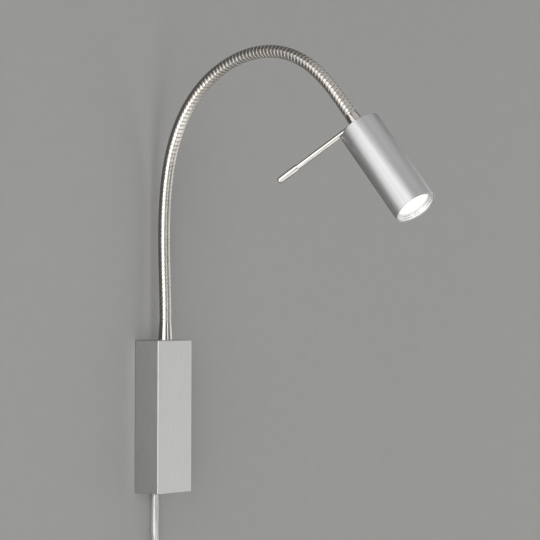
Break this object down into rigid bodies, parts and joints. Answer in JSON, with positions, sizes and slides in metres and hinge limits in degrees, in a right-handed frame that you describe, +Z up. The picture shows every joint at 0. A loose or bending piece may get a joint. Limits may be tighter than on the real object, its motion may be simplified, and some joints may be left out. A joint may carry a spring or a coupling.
{
  "type": "bedside wall reading lamp",
  "caption": "Wall-mounted reading lamp: a slim metal wall box, a ribbed flexible neck and a round spotlight head with an aiming handle, on a mains lead with a plug.",
  "frame": {"origin": "on the wall plane, in the middle of the four fixing holes of the wall bracket", "axes": "+Z up the wall, +Y into the wall, the lamp stands out towards -Y, +X to the right as seen from the front"},
  "size_m": [0.1355, 0.3339, 0.6583],
  "materials": {
    "brushed_aluminium": "satin brushed aluminium, grain along the box's height",
    "head_aluminium": "fine satin aluminium tube",
    "neck_metal": "satin nickel-plated steel",
    "zinc_steel": "zinc-plated steel",
    "black_rubber": "soft black rubber",
    "white_nylon": "natural white nylon",
    "clear_cord": "clear soft sheath over twisted tinned cores",
    "core_insulation": "core insulation",
    "driver_case": "white moulded case",
    "lead_sheath": "thin dark two-core lead",
    "bright_bezel": "bright turned ring",
    "lens_diffuser": "frosted diffuser, lit",
    "reflector_mirror": "vacuum-metallised reflector",
    "board_white": "white solder-resist on metal-core board",
    "phosphor": "yellow phosphor",
    "sink_aluminium": "plain extruded aluminium",
    "plug_plastic": "moulded plug plastic",
    "pin_brass": "nickel-plated brass",
    "tie_strap": "black hook-and-loop strap"
  },
  "bodies": {
    "wall_box": {"housing": "brushed_aluminium", "wall_bracket": "zinc_steel", "cover_screws": "zinc_steel", "cord_grommet": "black_rubber", "cord_clamp": "white_nylon", "clamp_screws": "zinc_steel", "terminal_block": "white_nylon", "terminal_screws": "zinc_steel", "led_driver": "driver_case", "driver_screws": "zinc_steel", "supply_wires": "core_insulation", "cord_tail": "clear_cord", "driver_lead": "lead_sheath", "neck_foot": "neck_metal", "toothed_washer": "zinc_steel", "lock_nut": "zinc_steel", "neck_lead": "lead_sheath", "neck_link_01": "neck_metal", "cord": "clear_cord", "cord_coil": "clear_cord", "cord_tie": "tie_strap", "cord_end": "clear_cord", "plug_body": "plug_plastic", "plug_pins": "pin_brass"},
    "neck_02": {"neck_link_02": "neck_metal"},
    "neck_03": {"neck_link_03": "neck_metal"},
    "neck_04": {"neck_link_04": "neck_metal"},
    "neck_05": {"neck_link_05": "neck_metal"},
    "neck_06": {"neck_link_06": "neck_metal"},
    "neck_07": {"neck_link_07": "neck_metal"},
    "neck_08": {"neck_link_08": "neck_metal"},
    "neck_09": {"neck_link_09": "neck_metal"},
    "neck_10": {"neck_link_10": "neck_metal"},
    "neck_11": {"neck_link_11": "neck_metal"},
    "neck_12": {"neck_link_12": "neck_metal"},
    "neck_13": {"neck_link_13": "neck_metal"},
    "neck_14": {"neck_link_14": "neck_metal"},
    "head": {"neck_link_15": "neck_metal", "head_collar": "neck_metal", "handle_rod": "neck_metal", "handle_grip": "neck_metal", "head_tube": "head_aluminium", "head_back": "head_aluminium", "head_nut": "zinc_steel", "heat_sink": "sink_aluminium", "led_board": "board_white", "led_chip": "phosphor", "board_screws": "zinc_steel", "reflector": "reflector_mirror", "lens": "lens_diffuser", "lens_bezel": "bright_bezel", "head_lead": "lead_sheath"}
  },
  "joints": [
    {"name": "neck_lower_bend", "type": "hinge", "parent": "wall_box", "child": "neck_02", "pos_m": [0, -0.01637, 0.12329], "axis": [1, 0, 0], "range_deg": [-1, 10], "deforming": ["neck_lead"]},
    {"name": "neck_side_bend", "type": "hinge", "parent": "neck_02", "child": "neck_03", "pos_m": [0, -0.01523, 0.15357], "axis": [0, 0.9995, -0.0332], "range_deg": [-12, 12]},
    {"name": "neck_lower_bend_2", "type": "hinge", "parent": "neck_03", "child": "neck_04", "pos_m": [0, -0.01486, 0.18387], "axis": [1, 0, 0], "range_deg": [-1, 10]},
    {"name": "neck_side_bend_2", "type": "hinge", "parent": "neck_04", "child": "neck_05", "pos_m": [0, -0.01618, 0.21413], "axis": [0, 0.9969, 0.0785], "range_deg": [-12, 12]},
    {"name": "neck_lower_bend_3", "type": "hinge", "parent": "neck_05", "child": "neck_06", "pos_m": [0, -0.02039, 0.24412], "axis": [1, 0, 0], "range_deg": [-1, 10]},
    {"name": "neck_side_bend_3", "type": "hinge", "parent": "neck_06", "child": "neck_07", "pos_m": [0, -0.02906, 0.27311], "axis": [0, 0.9285, 0.3714], "range_deg": [-12, 12]},
    {"name": "neck_upper_bend", "type": "hinge", "parent": "neck_07", "child": "neck_08", "pos_m": [0, -0.04342, 0.29972], "axis": [1, 0, 0], "range_deg": [-14, 3]},
    {"name": "neck_upper_bend_2", "type": "hinge", "parent": "neck_08", "child": "neck_09", "pos_m": [0, -0.06372, 0.3221], "axis": [1, 0, 0], "range_deg": [-14, 3]},
    {"name": "neck_upper_bend_3", "type": "hinge", "parent": "neck_09", "child": "neck_10", "pos_m": [0, -0.08888, 0.33885], "axis": [1, 0, 0], "range_deg": [-14, 3]},
    {"name": "neck_upper_bend_4", "type": "hinge", "parent": "neck_10", "child": "neck_11", "pos_m": [0, -0.1173, 0.34916], "axis": [1, 0, 0], "range_deg": [-14, 3]},
    {"name": "neck_upper_bend_5", "type": "hinge", "parent": "neck_11", "child": "neck_12", "pos_m": [0, -0.14738, 0.35185], "axis": [1, 0, 0], "range_deg": [-14, 3]},
    {"name": "neck_upper_bend_6", "type": "hinge", "parent": "neck_12", "child": "neck_13", "pos_m": [0, -0.17689, 0.34558], "axis": [1, 0, 0], "range_deg": [-14, 3]},
    {"name": "neck_upper_bend_7", "type": "hinge", "parent": "neck_13", "child": "neck_14", "pos_m": [0, -0.20316, 0.33069], "axis": [1, 0, 0], "range_deg": [-14, 3]},
    {"name": "neck_upper_bend_8", "type": "hinge", "parent": "neck_14", "child": "head", "pos_m": [0, -0.22512, 0.30988], "axis": [1, 0, 0], "range_deg": [-14, 3]}
  ],
  "couplings": [
    {"joint": "neck_lower_bend_2", "follows": "neck_lower_bend", "ratio": 1},
    {"joint": "neck_side_bend_2", "follows": "neck_side_bend", "ratio": 1},
    {"joint": "neck_lower_bend_3", "follows": "neck_lower_bend", "ratio": 1},
    {"joint": "neck_side_bend_3", "follows": "neck_side_bend", "ratio": 1},
    {"joint": "neck_upper_bend_2", "follows": "neck_upper_bend", "ratio": 1},
    {"joint": "neck_upper_bend_3", "follows": "neck_upper_bend", "ratio": 1},
    {"joint": "neck_upper_bend_4", "follows": "neck_upper_bend", "ratio": 1},
    {"joint": "neck_upper_bend_5", "follows": "neck_upper_bend", "ratio": 1},
    {"joint": "neck_upper_bend_6", "follows": "neck_upper_bend", "ratio": 1},
    {"joint": "neck_upper_bend_7", "follows": "neck_upper_bend", "ratio": 1},
    {"joint": "neck_upper_bend_8", "follows": "neck_upper_bend", "ratio": 1}
  ]
}
